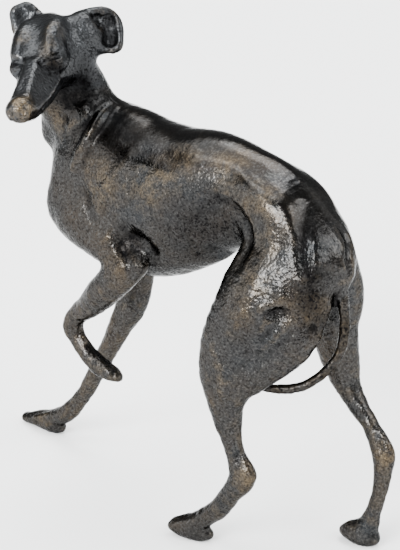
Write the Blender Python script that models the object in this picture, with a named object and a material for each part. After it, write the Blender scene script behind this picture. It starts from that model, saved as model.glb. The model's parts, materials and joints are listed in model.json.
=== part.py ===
"""Whippet statue: one hollow bronze casting of a standing whippet that lifts its left forepaw and looks back
over its left shoulder, with its tail tucked between the hind legs.

The dog faces -X, its left side is -Y and it stands on Z = 0. The figure is laid out on a sculptor's grid on
which the withers are GRID units above the ground, so every place and girth below is a share of WITHERS.
Each form is a closed shell of flesh: a run along a smooth line with oval sections, or an oval mass. The shells
are fused by a voxel remesh, and the skin is then settled on the blended field of the forms and the hollows.
"""
import math

import bmesh
import bpy
import numpy as np
from mathutils import Euler, Matrix, Vector

WITHERS = 0.200  # ground to the top of the shoulders, in metres
GRID = 200.0  # grid units from the ground to the withers
UNIT = WITHERS / GRID

VOXEL = 2.0  # cell of the fusing remesh, in grid units
SETTLING_PASSES = 8
TRIANGLES = 8000
MARGIN = 14.0  # how far past its own surface a form is still felt
STEP = 0.2  # spacing of the finite differences, in grid units

HEAD_ORIGIN = (-68.5, -24.5, 229.0)  # middle of the brain case
HEAD_FORWARD = (0.50, -0.846, -0.177)
HEAD_UP = (-0.05, -0.30, 0.96)


def frame_of(origin, forward, up):
    """A matrix whose x is forward, y is to the left and z is up."""
    x = Vector(forward).normalized()
    y = Vector(up).cross(x).normalized()
    z = x.cross(y)
    turn = Matrix((x, y, z)).transposed()
    return Matrix.Translation(origin) @ turn.to_4x4()


HEAD = frame_of(HEAD_ORIGIN, HEAD_FORWARD, HEAD_UP)


def smooth_line(stations, per_span):
    """Catmull-Rom points through the stations; a station may hold any number of values."""
    knots = np.array(stations, float)
    padded = np.vstack([2 * knots[0] - knots[1], knots, 2 * knots[-1] - knots[-2]])
    rows = []
    for i in range(len(knots) - 1):
        before, start, end, after = padded[i : i + 4]
        for t in np.arange(per_span) / per_span:
            bend = 2 * before - 5 * start + 4 * end - after
            twist = 3 * start - before - 3 * end + after
            rows.append(start + 0.5 * ((end - before) * t + bend * t**2 + twist * t**3))
    rows.append(knots[-1])
    return np.array(rows)


def unit(vectors):
    return vectors / np.linalg.norm(vectors, axis=-1, keepdims=True)


class Run:
    """Flesh along a smooth line. A station is x, y, z, half-width, half-depth and, where the section is
    egg-shaped, how much wider its upper half is. The width is along `side`, the depth square to it."""

    def __init__(self, stations, blend=4.0, side=(0, 1, 0), frame=None, per_span=4):
        rows = smooth_line([tuple(s) + (0.0,) * (6 - len(s)) for s in stations], per_span)
        self.points = rows[:, :3]
        self.across, self.depth, self.egg = rows[:, 3:].T
        side = Vector(side)
        if frame is not None:
            self.points = np.array([frame @ Vector(p) for p in self.points])
            side = frame.to_3x3() @ side
        self.blend = blend
        along = unit(np.gradient(self.points, axis=0))
        side = np.array(side, float)
        self.side = unit(side - along * (along @ side)[:, None])
        self.up = np.cross(along, self.side)
        reach = np.maximum(self.across, self.depth).max() + MARGIN
        self.low, self.high = self.points.min(0) - reach, self.points.max(0) + reach

    def span(self, i, p):
        """Distance to the flesh between two neighbouring points of the line."""
        run = self.points[i + 1] - self.points[i]
        off = p - self.points[i]
        t = np.clip(off @ run / (run @ run), 0, 1)[:, None]
        off = off - t * run
        side = self.side[i] + t * (self.side[i + 1] - self.side[i])
        up = self.up[i] + t * (self.up[i + 1] - self.up[i])
        a, b = (off * side).sum(1), (off * up).sum(1)
        past = np.linalg.norm(off - a[:, None] * side - b[:, None] * up, axis=1)
        t = t[:, 0]
        across = self.across[i] + t * (self.across[i + 1] - self.across[i])
        depth = self.depth[i] + t * (self.depth[i + 1] - self.depth[i])
        egg = self.egg[i] + t * (self.egg[i + 1] - self.egg[i])
        across = across * (1 + egg * np.clip(b / depth, -1, 1))
        small = np.minimum(across, depth)
        near = np.sqrt((a / across) ** 2 + (b / depth) ** 2 + (past / small) ** 2)
        slope = np.sqrt((a / across**2) ** 2 + (b / depth**2) ** 2 + (past / small**2) ** 2)
        return np.where(near < 0.05, -small, near * (near - 1) / (slope + 1e-9))

    def field(self, p):
        nearest = self.span(0, p)
        for i in range(1, len(self.points) - 1):
            nearest = np.minimum(nearest, self.span(i, p))
        return nearest

    def seed(self, shell, sides=12):
        rings = []
        turns = np.arange(sides) / sides * 2 * math.pi
        for point, side, up, across, depth in zip(self.points, self.side, self.up, self.across, self.depth):
            ring = point + np.outer(np.cos(turns) * across, side) + np.outer(np.sin(turns) * depth, up)
            rings.append([shell.verts.new(v) for v in ring])
        for one, two in zip(rings, rings[1:]):
            for k in range(sides):
                shell.faces.new((one[k], one[(k + 1) % sides], two[(k + 1) % sides], two[k]))
        shell.faces.new(rings[0][::-1])
        shell.faces.new(rings[-1])


class Mass:
    """An oval muscle or bone: its centre, its three half-sizes and its turn about X, Y and Z in degrees."""

    def __init__(self, centre, sizes, turn=(0, 0, 0), blend=6.0, frame=None):
        spin = Euler([math.radians(t) for t in turn]).to_matrix()
        centre = Vector(centre)
        if frame is not None:
            centre = frame @ centre
            spin = frame.to_3x3() @ spin
        self.centre, self.spin = np.array(centre), np.array(spin)
        self.sizes = np.array(sizes, float)
        self.blend = blend
        reach = self.sizes.max() + MARGIN
        self.low, self.high = self.centre - reach, self.centre + reach

    def field(self, p):
        local = (p - self.centre) @ self.spin
        near = np.linalg.norm(local / self.sizes, axis=1)
        slope = np.linalg.norm(local / self.sizes**2, axis=1) + 1e-9
        return np.where(near < 0.05, -self.sizes.min(), near * (near - 1) / slope)

    def seed(self, shell):
        turn = Matrix(self.spin.tolist()).to_4x4()
        matrix = Matrix.Translation(self.centre) @ turn @ Matrix.Diagonal((*self.sizes, 1))
        bmesh.ops.create_icosphere(shell, subdivisions=2, radius=1, matrix=matrix)


def torso():
    yield Run(
        [
            (-79, -2, 144, 7, 8),
            (-73, -2, 148, 11, 17, 0.05),
            (-62, 0, 152, 18, 32, 0.08),
            (-45, 0, 157, 26, 42, 0.1),
            (-20, 0, 157, 28, 39.5, 0.1),
            (0, 0, 161, 27, 35, 0.08),
            (20, 0, 168, 23, 29.5, 0.05),
            (40, 0, 170, 19, 24),
            (55, 0, 167.5, 17, 22),
            (70, 0, 159.5, 16, 19),
            (82, 0, 151, 14, 16),
            (89, 0, 145, 10, 11),
            (92, 0, 141, 5, 7),
        ],
        per_span=7,
    )
    yield Mass((-76, -4, 141), (7, 9, 10), (0, -20, 0))
    yield Mass((22, -4, 138.5), (7, 3.5, 2.6), (0, -20, 0), 4)
    for left in (-1, 1):
        yield Mass((-54, left * 13, 172), (13, 8, 24), (left * 12, 28, 0), 8)
        yield Mass((-61, left * 14.5, 148), (12, 8, 13), (0, 20, 0), 8)
        yield Mass((60, left * 12, 168), (20, 8, 14), (0, 20, 0), 8)


# Three loose folds that run down and forward over the near side of the neck, each point with its girth
FOLDS = (
    (
        (-43.2, -5.2, 199.7, 1.2),
        (-42.5, -11.3, 198.2, 2),
        (-42.4, -17, 194, 2.5),
        (-43.5, -21.4, 187.9, 2.6),
        (-46.7, -24.4, 179.3, 2.2),
        (-50.1, -25, 171.8, 1.2),
    ),
    (
        (-46.6, -5.7, 201.8, 1.2),
        (-46.7, -10.8, 199.9, 1.8),
        (-48.7, -16.2, 197.4, 2),
        (-53, -18.9, 194, 1.8),
        (-58.2, -19.6, 189.2, 1),
    ),
    (
        (-48.4, -8.8, 203.9, 1.2),
        (-49.6, -13.9, 201.6, 1.6),
        (-53.1, -17, 198.6, 1.6),
        (-57.2, -18.3, 196, 1),
    ),
)


def neck():
    yield Run(
        [
            (-44, 0, 160, 18, 25),
            (-55, -1, 175, 16.5, 22.5),
            (-64.5, -3, 190, 15.5, 21.5),
            (-69.5, -7.5, 205, 15.5, 20.5),
            (-70, -13.5, 218, 14.5, 19),
            (-68, -18, 227, 13, 15),
        ],
        blend=6,
    )
    yield Mass((-80.6, -6.5, 181), (6.5, 6.5, 8), (0, 12, 0), 6)
    for fold in FOLDS:
        yield Run([(*point, point[3]) for point in fold], blend=4)


def head():
    yield Mass((0, 0, 0.3), (19, 13.5, 13), (0, 6, 0), 6, HEAD)
    yield Mass((-13, 0, 1), (8, 8, 8), (0, 0, 0), 5, HEAD)
    yield Run(
        [
            (2, 0, -3, 12, 11, -0.1),
            (18, 0, -5.5, 10, 9.4, -0.35),
            (30, 0, -7.2, 9, 8.3, -0.3),
            (42, 0, -8.2, 8.2, 7.1, -0.28),
            (51, 0, -8.2, 7.4, 6.2, -0.25),
            (56, 0, -7.6, 6, 5.2, -0.1),
        ],
        blend=4,
        frame=HEAD,
    )
    yield Run(
        [(0, 0, -13, 10, 6), (18, 0, -15.4, 7.4, 4.8), (36, 0, -15.2, 6, 3.8), (49, 0, -12.8, 4.8, 2.8)],
        blend=3,
        frame=HEAD,
    )
    yield Mass((56, 0, -6.8), (5, 6, 4.8), (0, 8, 0), 4, HEAD)
    for left in (-1, 1):
        yield Mass((3, left * 9, -8), (13, 5.5, 9), (0, 0, 0), 5, HEAD)
        yield Mass((15, left * 10.4, -2.6), (6, 4, 3.4), (0, 12, -left * 10), 3, HEAD)
        yield Mass((14, left * 8.2, 3), (6, 4.2, 3.2), (left * 8, 0, -left * 20), 4, HEAD)
        yield Mass((4, left * 6.5, 7), (11, 5.5, 5), (0, 6, 0), 6, HEAD)
        yield Run(
            [(18, left * 2.6, 2.4, 1.6, 1.6), (28, left * 2.1, 0.3, 1.5, 1.5), (50, left * 2.8, -4, 1.4, 1.4)],
            blend=3.5,
            frame=HEAD,
        )


# Frames in the middle of each ear: x looks out of the ear, y runs to the far edge of the left ear
LEFT_EAR = frame_of((-55.3, 0.0, 234.0), (0.62, -0.70, 0.34), (0, 0, 1))
RIGHT_EAR = frame_of((-85.5, -20.0, 237.0), (0.62, -0.70, 0.34), (0, 0, 1))

# The thick rolled rim of the left ear, from its front fold over the top and down to the lobe, with its girth
RIM = (
    (2, -9, 5.6, 1.6),
    (2.6, -4.5, 8.6, 1.9),
    (2.6, 1.5, 9.4, 2),
    (2.6, 6.4, 7.2, 2),
    (2.6, 9.2, 2.2, 2),
    (2.6, 9.6, -3.6, 2.1),
    (3, 8.2, -8.6, 2.3),
    (3, 2.4, -9, 2.2),
)


def ears():
    yield Mass((-0.5, 0, 0), (6, 10.4, 10), (0, 0, 0), 4, LEFT_EAR)
    yield Run([(*point, point[3]) for point in RIM], blend=2.5, frame=LEFT_EAR)
    yield Mass((-59, -9, 231.5), (10, 8, 12.5), (0, 0, 0), 6)
    yield Mass((0, 0, 0), (3.4, 7.4, 10), (0, 0, 0), 4, RIGHT_EAR)
    yield Mass((0, -5, 4.4), (2.4, 2.6, 3), (0, 0, 0), 3, RIGHT_EAR)


def raised_foreleg():
    yield Run(
        [(-64, -15, 150, 8, 13), (-50, -20, 145, 9, 14), (-32, -23, 139, 8, 12), (-16, -24, 132, 6, 8)],
        blend=8,
    )
    yield Run(
        [
            (-9, -25, 132, 5, 6),
            (-20.5, -26, 123, 7, 8.6),
            (-35, -24, 110, 6.6, 8),
            (-45, -21, 101, 5.4, 6.4),
            (-56, -18, 92.6, 4.5, 5.1),
            (-61, -17, 85, 4.8, 5.3),
            (-56.5, -17, 77.5, 4.2, 4.5),
            (-48.7, -17, 71, 4.6, 4.4),
            (-42, -17, 67.6, 5.2, 4.6),
            (-34, -17, 66, 4.4, 3.5),
            (-30, -17, 65, 2.6, 2.2),
        ],
        blend=5,
    )


def standing_foreleg():
    yield Run(
        [
            (-62, 14, 148, 8, 13),
            (-53, 17, 128, 8.5, 11.5),
            (-48.5, 19, 112, 7.6, 8.4),
            (-51, 20, 98, 7, 8.2),
            (-55.5, 20, 86, 6.8, 8.2),
            (-62.6, 20, 74, 5.6, 6.6),
            (-71, 19, 58, 4.5, 5.2),
            (-80.6, 18, 40.7, 4.6, 4.6),
            (-87, 17, 29.5, 4, 4.2),
            (-97, 16.5, 17.5, 4.4, 4.8),
            (-109, 18.5, 9.6, 5.2, 4.8),
            (-125, 19.5, 4.2, 4.6, 3.6),
            (-136, 20.3, 1.8, 3, 2.2),
        ],
        blend=6,
    )
    yield Mass((-116, 20, 4), (12, 5.2, 4.8), (0, 0, -6), 3)


def left_hind_leg():
    yield Run(
        [
            (73, -10, 160, 9, 17),
            (70.5, -17, 146, 11, 22),
            (62.5, -25, 128, 11.5, 19.5),
            (52, -30, 110, 10, 13.8),
            (49, -32, 94, 8.6, 10.8),
            (52, -32, 81, 7.6, 9.3),
            (53, -31, 70, 6, 7.2),
            (55.5, -31, 61, 4.4, 5.4),
            (57.5, -30, 53, 4.2, 5.2),
            (60.5, -30, 43, 5, 6.6),
            (55, -30, 34, 4.4, 5.2),
            (46, -29, 22, 4.4, 5),
            (38, -28, 15.4, 5, 4.8),
            (31, -28, 9.6, 5.2, 5.2),
            (22, -29, 6, 5, 4.4),
            (17.5, -29.6, 4.4, 3.4, 2.8),
        ],
        blend=7,
    )
    yield Run(
        [
            (82, -8, 148, 8, 10),
            (85, -12, 130, 9, 11),
            (79, -18, 114, 9.5, 12),
            (66, -26, 101, 8.5, 12),
            (56, -31, 90, 7, 10),
        ],
        blend=6,
    )
    yield Run([(62, -30, 50, 1.8, 2), (66, -30, 46, 2.6, 2.8), (62, -30, 40, 2, 2)], blend=4)
    yield Mass((28, -27, 4.2), (11.5, 5.2, 5), (0, 0, 6), 3)


def right_hind_leg():
    yield Run(
        [
            (72, 9, 158, 8, 16),
            (74, 15, 143, 10, 16.5),
            (73.5, 21, 125, 10, 16.5),
            (72, 24, 107, 9, 13),
            (76, 26, 86, 7.4, 9.4),
            (81, 26, 75.6, 5.4, 6.2),
            (88, 26, 67, 4.2, 5),
            (95, 26, 59, 3.8, 4.2),
            (101.5, 26, 46, 4.4, 5.4),
            (102, 25, 35, 3.7, 4.2),
            (101, 24, 27, 3.5, 3.7),
            (99, 23, 18, 3.8, 4),
            (95.6, 22.5, 9, 5, 5.6),
            (88, 22, 5.6, 5.2, 4.6),
            (83.5, 22, 4.2, 3.6, 3),
        ],
        blend=7,
    )
    yield Run([(100, 26, 58, 1.4, 1.6), (105, 26, 50, 2.4, 2.6), (102, 26, 42, 2, 2)], blend=4)
    yield Mass((93, 22.5, 4.2), (10, 5.8, 5), (0, 0, 0), 3)


def tail():
    yield Run(
        [
            (86, 0, 150, 6, 6),
            (92, 0, 141, 4, 4),
            (96, -1, 131, 2.8, 2.8),
            (98, -2, 119, 2.5, 2.5),
            (97, -4, 108, 2.4, 2.4),
            (92, -8, 98.5, 2.3, 2.3),
            (84, -13, 91, 2.2, 2.2),
            (74, -18, 88, 2.2, 2.2),
            (66, -22, 88.5, 2.2, 2.2),
            (58, -26, 91, 2.2, 2.2),
        ],
        blend=2.5,
    )


def hollows():
    yield Mass((-10, -30, 143), (9, 5, 6), (0, 35, 0), 6)
    yield Mass((38, -27, 160), (9, 6, 14), (0, 15, 0), 10)
    yield Mass((38, 27, 160), (9, 6, 14), (0, 15, 0), 10)
    yield Mass((83, -32, 131), (5.5, 5, 3.4), (0, 20, 0), 5)
    yield Mass((98, -20, 123), (5, 7, 6), (0, 0, 0), 8)
    yield Mass((6, 1.2, 3.6), (5.6, 6.4, 5), (-8, 0, 0), 2, LEFT_EAR)
    yield Mass((6, 4, -4.6), (5.6, 4.6, 4.6), (0, 0, 0), 2, LEFT_EAR)
    yield Mass((4.6, -1, -1), (2.6, 4.4, 6), (0, 0, 0), 3, RIGHT_EAR)
    yield Run([(18, 0, 6.2, 2.4, 1.6), (8, 0, 11.6, 2.4, 1.6), (-4, 0, 14.2, 2, 1.4)], blend=4, frame=HEAD)
    for left in (-1, 1):
        yield Mass((20.5, left * 8.4, 0.4), (4, 3.4, 2), (0, 0, -left * 14), 3, HEAD)


def forms():
    makers = (
        torso,
        neck,
        head,
        ears,
        raised_foreleg,
        standing_foreleg,
        left_hind_leg,
        right_hind_leg,
        tail,
    )
    return [form for maker in makers for form in maker()]


def soft_least(a, b, blend):
    overlap = np.maximum(blend - np.abs(a - b), 0) / blend
    return np.minimum(a, b) - overlap**2 * blend / 4


def skin_field(p, added, carved):
    """Signed distance to the blended skin: below nought inside."""
    whole = np.full(len(p), 40.0)
    for form in added:
        near = ((p > form.low) & (p < form.high)).all(1)
        whole[near] = soft_least(whole[near], form.field(p[near]), form.blend)
    for form in carved:
        near = ((p > form.low) & (p < form.high)).all(1)
        whole[near] = -soft_least(-whole[near], form.field(p[near]), form.blend)
    return whole


def shell_object(added):
    shell = bmesh.new()
    for form in added:
        form.seed(shell)
    bmesh.ops.recalc_face_normals(shell, faces=shell.faces)
    mesh = bpy.data.meshes.new("whippet")
    shell.to_mesh(mesh)
    shell.free()
    statue = bpy.data.objects.new("whippet", mesh)
    bpy.context.scene.collection.objects.link(statue)
    return statue


def with_modifier(statue, kind, **settings):
    modifier = statue.modifiers.new("step", kind)
    for name, value in settings.items():
        setattr(modifier, name, value)
    graph = bpy.context.evaluated_depsgraph_get()
    mesh = bpy.data.meshes.new_from_object(statue.evaluated_get(graph))
    statue.modifiers.clear()
    statue.data = mesh


def places(mesh):
    flat = np.empty(len(mesh.vertices) * 3)
    mesh.vertices.foreach_get("co", flat)
    return flat.reshape(-1, 3)


def put(mesh, p):
    mesh.vertices.foreach_set("co", p.ravel())
    mesh.update()


def neighbour_mean(mesh, p):
    ends = np.empty(len(mesh.edges) * 2, int)
    mesh.edges.foreach_get("vertices", ends)
    a, b = ends[::2], ends[1::2]
    count = np.bincount(ends, minlength=len(p))[:, None]
    total = np.zeros_like(p)
    for axis in range(3):
        total[:, axis] += np.bincount(a, p[b, axis], len(p))
        total[:, axis] += np.bincount(b, p[a, axis], len(p))
    return total / np.maximum(count, 1)


def settle(statue, added, carved, passes):
    """Move the skin onto the blended field, spreading its points evenly as it goes."""
    p = places(statue.data)
    for step in range(passes):
        d = skin_field(p, added, carved)
        slope = np.empty_like(p)
        for axis in range(3):
            shifted = p.copy()
            shifted[:, axis] += STEP
            slope[:, axis] = (skin_field(shifted, added, carved) - d) / STEP
        steep = np.maximum((slope**2).sum(1), 0.16)[:, None]
        p = p - np.clip(d, -2.5, 2.5)[:, None] * slope / steep
        if step < passes - 2:
            normal = slope / np.sqrt(steep)
            pull = 0.5 * (neighbour_mean(statue.data, p) - p)
            p = p + pull - normal * (pull * normal).sum(1)[:, None]
    put(statue.data, p)


def cut_soles(statue):
    skin = bmesh.new()
    skin.from_mesh(statue.data)
    every = skin.verts[:] + skin.edges[:] + skin.faces[:]
    cut = bmesh.ops.bisect_plane(skin, geom=every, dist=1e-4, plane_no=(0, 0, 1), clear_inner=True)
    rim = [e for e in cut["geom_cut"] if isinstance(e, bmesh.types.BMEdge)]
    bmesh.ops.holes_fill(skin, edges=rim, sides=0)
    bmesh.ops.triangulate(skin, faces=[f for f in skin.faces if len(f.verts) > 3])
    bmesh.ops.recalc_face_normals(skin, faces=skin.faces)
    skin.to_mesh(statue.data)
    skin.free()


def sculpt(statue, added, carved, voxel, passes):
    with_modifier(statue, "REMESH", mode="VOXEL", voxel_size=voxel)
    settle(statue, added, carved, passes)
    with_modifier(statue, "REMESH", mode="VOXEL", voxel_size=voxel)
    settle(statue, added, carved, passes)


def centred(statue):
    """Bring the figure to metres, with the middle of its box over the origin and its feet on the ground."""
    p = places(statue.data)
    middle = (p.max(0) + p.min(0)) / 2
    middle[2] = 0
    put(statue.data, (p - middle) * UNIT)


def bronze():
    material = bpy.data.materials.new("dark_bronze")
    material.use_nodes = True
    shader = material.node_tree.nodes["Principled BSDF"]
    shader.inputs["Base Color"].default_value = (0.028, 0.022, 0.018, 1)
    shader.inputs["Metallic"].default_value = 0.85
    shader.inputs["Roughness"].default_value = 0.34
    return material


def main():
    for thing in list(bpy.data.objects):
        bpy.data.objects.remove(thing, do_unlink=True)
    added, carved = forms(), list(hollows())
    statue = shell_object(added)
    sculpt(statue, added, carved, VOXEL, SETTLING_PASSES)
    with_modifier(statue, "TRIANGULATE")
    with_modifier(statue, "DECIMATE", ratio=TRIANGLES / len(statue.data.polygons))
    cut_soles(statue)
    centred(statue)
    statue.data.polygons.foreach_set("use_smooth", [True] * len(statue.data.polygons))
    statue.data.materials.clear()
    statue.data.materials.append(bronze())


main()
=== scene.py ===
"""The whippet statue dressed: the casting's finer relief, its patinated bronze, and a pale studio.

The dog faces -X, its left side is -Y and it stands on Z = 0. The casting is sculpted again from the same
forms as the solid, on the same grid on which the withers are GRID units high, but with a finer skin, and
with the small relief of face, ears, muscles, sinews and feet added. Lengths are in grid units unless a line
says otherwise.
"""

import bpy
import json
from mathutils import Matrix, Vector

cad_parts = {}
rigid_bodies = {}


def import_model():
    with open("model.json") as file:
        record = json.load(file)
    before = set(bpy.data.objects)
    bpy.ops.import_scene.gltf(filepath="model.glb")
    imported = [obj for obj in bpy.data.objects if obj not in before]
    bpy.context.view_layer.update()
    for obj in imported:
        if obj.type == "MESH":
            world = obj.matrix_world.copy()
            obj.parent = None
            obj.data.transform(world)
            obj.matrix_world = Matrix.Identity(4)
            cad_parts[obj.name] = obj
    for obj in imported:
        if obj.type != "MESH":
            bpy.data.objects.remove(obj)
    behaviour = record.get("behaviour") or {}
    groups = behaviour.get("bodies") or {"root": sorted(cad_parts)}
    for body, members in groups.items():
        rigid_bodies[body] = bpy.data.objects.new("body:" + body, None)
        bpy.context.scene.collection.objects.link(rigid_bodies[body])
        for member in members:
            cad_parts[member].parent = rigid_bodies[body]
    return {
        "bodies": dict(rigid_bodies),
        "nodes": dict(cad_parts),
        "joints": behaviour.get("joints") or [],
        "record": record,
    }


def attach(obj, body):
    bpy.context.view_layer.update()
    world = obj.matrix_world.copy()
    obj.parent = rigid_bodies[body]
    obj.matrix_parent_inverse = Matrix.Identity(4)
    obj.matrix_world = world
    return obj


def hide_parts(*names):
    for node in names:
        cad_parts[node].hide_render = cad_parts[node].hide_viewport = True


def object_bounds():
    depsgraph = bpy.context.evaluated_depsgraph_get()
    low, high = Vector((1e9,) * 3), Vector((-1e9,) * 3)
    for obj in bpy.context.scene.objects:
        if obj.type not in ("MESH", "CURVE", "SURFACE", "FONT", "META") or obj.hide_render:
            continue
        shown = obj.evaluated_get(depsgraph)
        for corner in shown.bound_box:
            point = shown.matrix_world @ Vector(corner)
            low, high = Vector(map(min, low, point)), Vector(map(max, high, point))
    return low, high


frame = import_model()
cad_box = [list(corner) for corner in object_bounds()]

import json
import math

import bmesh
import bpy
import numpy as np
from mathutils import Euler, Matrix, Vector, noise
from mathutils.kdtree import KDTree

CENTRE = (-13.461, -21.544, 0.0)  # the solid's origin, on the sculptor's grid
FINE_VOXEL = 1.3  # cell of the skin's remesh, in grid units
WITHERS = 0.200  # ground to the top of the shoulders, in metres
GRID = 200.0  # grid units from the ground to the withers
UNIT = WITHERS / GRID

MARGIN = 14.0  # how far past its own surface a form is still felt
STEP = 0.2  # spacing of the finite differences, in grid units

HEAD_ORIGIN = (-68.5, -24.5, 229.0)  # middle of the brain case
HEAD_FORWARD = (0.50, -0.846, -0.177)
HEAD_UP = (-0.05, -0.30, 0.96)


def frame_of(origin, forward, up):
    """A matrix whose x is forward, y is to the left and z is up."""
    x = Vector(forward).normalized()
    y = Vector(up).cross(x).normalized()
    z = x.cross(y)
    turn = Matrix((x, y, z)).transposed()
    return Matrix.Translation(origin) @ turn.to_4x4()


HEAD = frame_of(HEAD_ORIGIN, HEAD_FORWARD, HEAD_UP)


def smooth_line(stations, per_span):
    """Catmull-Rom points through the stations; a station may hold any number of values."""
    knots = np.array(stations, float)
    padded = np.vstack([2 * knots[0] - knots[1], knots, 2 * knots[-1] - knots[-2]])
    rows = []
    for i in range(len(knots) - 1):
        before, start, end, after = padded[i : i + 4]
        for t in np.arange(per_span) / per_span:
            bend = 2 * before - 5 * start + 4 * end - after
            twist = 3 * start - before - 3 * end + after
            rows.append(start + 0.5 * ((end - before) * t + bend * t**2 + twist * t**3))
    rows.append(knots[-1])
    return np.array(rows)


def unit(vectors):
    return vectors / np.linalg.norm(vectors, axis=-1, keepdims=True)


class Run:
    """Flesh along a smooth line. A station is x, y, z, half-width, half-depth and, where the section is
    egg-shaped, how much wider its upper half is. The width is along `side`, the depth square to it."""

    def __init__(self, stations, blend=4.0, side=(0, 1, 0), frame=None, per_span=4):
        rows = smooth_line([tuple(s) + (0.0,) * (6 - len(s)) for s in stations], per_span)
        self.points = rows[:, :3]
        self.across, self.depth, self.egg = rows[:, 3:].T
        side = Vector(side)
        if frame is not None:
            self.points = np.array([frame @ Vector(p) for p in self.points])
            side = frame.to_3x3() @ side
        self.blend = blend
        along = unit(np.gradient(self.points, axis=0))
        side = np.array(side, float)
        self.side = unit(side - along * (along @ side)[:, None])
        self.up = np.cross(along, self.side)
        reach = np.maximum(self.across, self.depth).max() + MARGIN
        self.low, self.high = self.points.min(0) - reach, self.points.max(0) + reach

    def span(self, i, p):
        """Distance to the flesh between two neighbouring points of the line."""
        run = self.points[i + 1] - self.points[i]
        off = p - self.points[i]
        t = np.clip(off @ run / (run @ run), 0, 1)[:, None]
        off = off - t * run
        side = self.side[i] + t * (self.side[i + 1] - self.side[i])
        up = self.up[i] + t * (self.up[i + 1] - self.up[i])
        a, b = (off * side).sum(1), (off * up).sum(1)
        past = np.linalg.norm(off - a[:, None] * side - b[:, None] * up, axis=1)
        t = t[:, 0]
        across = self.across[i] + t * (self.across[i + 1] - self.across[i])
        depth = self.depth[i] + t * (self.depth[i + 1] - self.depth[i])
        egg = self.egg[i] + t * (self.egg[i + 1] - self.egg[i])
        across = across * (1 + egg * np.clip(b / depth, -1, 1))
        small = np.minimum(across, depth)
        near = np.sqrt((a / across) ** 2 + (b / depth) ** 2 + (past / small) ** 2)
        slope = np.sqrt((a / across**2) ** 2 + (b / depth**2) ** 2 + (past / small**2) ** 2)
        return np.where(near < 0.05, -small, near * (near - 1) / (slope + 1e-9))

    def field(self, p):
        nearest = self.span(0, p)
        for i in range(1, len(self.points) - 1):
            nearest = np.minimum(nearest, self.span(i, p))
        return nearest


class Mass:
    """An oval muscle or bone: its centre, its three half-sizes and its turn about X, Y and Z in degrees."""

    def __init__(self, centre, sizes, turn=(0, 0, 0), blend=6.0, frame=None):
        spin = Euler([math.radians(t) for t in turn]).to_matrix()
        centre = Vector(centre)
        if frame is not None:
            centre = frame @ centre
            spin = frame.to_3x3() @ spin
        self.centre, self.spin = np.array(centre), np.array(spin)
        self.sizes = np.array(sizes, float)
        self.blend = blend
        reach = self.sizes.max() + MARGIN
        self.low, self.high = self.centre - reach, self.centre + reach

    def field(self, p):
        local = (p - self.centre) @ self.spin
        near = np.linalg.norm(local / self.sizes, axis=1)
        slope = np.linalg.norm(local / self.sizes**2, axis=1) + 1e-9
        return np.where(near < 0.05, -self.sizes.min(), near * (near - 1) / slope)


def torso():
    yield Run(
        [
            (-79, -2, 144, 7, 8),
            (-73, -2, 148, 11, 17, 0.05),
            (-62, 0, 152, 18, 32, 0.08),
            (-45, 0, 157, 26, 42, 0.1),
            (-20, 0, 157, 28, 39.5, 0.1),
            (0, 0, 161, 27, 35, 0.08),
            (20, 0, 168, 23, 29.5, 0.05),
            (40, 0, 170, 19, 24),
            (55, 0, 167.5, 17, 22),
            (70, 0, 159.5, 16, 19),
            (82, 0, 151, 14, 16),
            (89, 0, 145, 10, 11),
            (92, 0, 141, 5, 7),
        ],
        per_span=7,
    )
    yield Mass((-76, -4, 141), (7, 9, 10), (0, -20, 0))
    yield Mass((22, -4, 138.5), (7, 3.5, 2.6), (0, -20, 0), 4)
    for left in (-1, 1):
        yield Mass((-54, left * 13, 172), (13, 8, 24), (left * 12, 28, 0), 8)
        yield Mass((-61, left * 14.5, 148), (12, 8, 13), (0, 20, 0), 8)
        yield Mass((60, left * 12, 168), (20, 8, 14), (0, 20, 0), 8)


# Three loose folds that run down and forward over the near side of the neck, each point with its girth
FOLDS = (
    (
        (-43.2, -5.2, 199.7, 1.2),
        (-42.5, -11.3, 198.2, 2),
        (-42.4, -17, 194, 2.5),
        (-43.5, -21.4, 187.9, 2.6),
        (-46.7, -24.4, 179.3, 2.2),
        (-50.1, -25, 171.8, 1.2),
    ),
    (
        (-46.6, -5.7, 201.8, 1.2),
        (-46.7, -10.8, 199.9, 1.8),
        (-48.7, -16.2, 197.4, 2),
        (-53, -18.9, 194, 1.8),
        (-58.2, -19.6, 189.2, 1),
    ),
    (
        (-48.4, -8.8, 203.9, 1.2),
        (-49.6, -13.9, 201.6, 1.6),
        (-53.1, -17, 198.6, 1.6),
        (-57.2, -18.3, 196, 1),
    ),
)


def neck():
    yield Run(
        [
            (-44, 0, 160, 18, 25),
            (-55, -1, 175, 16.5, 22.5),
            (-64.5, -3, 190, 15.5, 21.5),
            (-69.5, -7.5, 205, 15.5, 20.5),
            (-70, -13.5, 218, 14.5, 19),
            (-68, -18, 227, 13, 15),
        ],
        blend=6,
    )
    yield Mass((-80.6, -6.5, 181), (6.5, 6.5, 8), (0, 12, 0), 6)
    for fold in FOLDS:
        yield Run([(*point, point[3]) for point in fold], blend=4)


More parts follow.
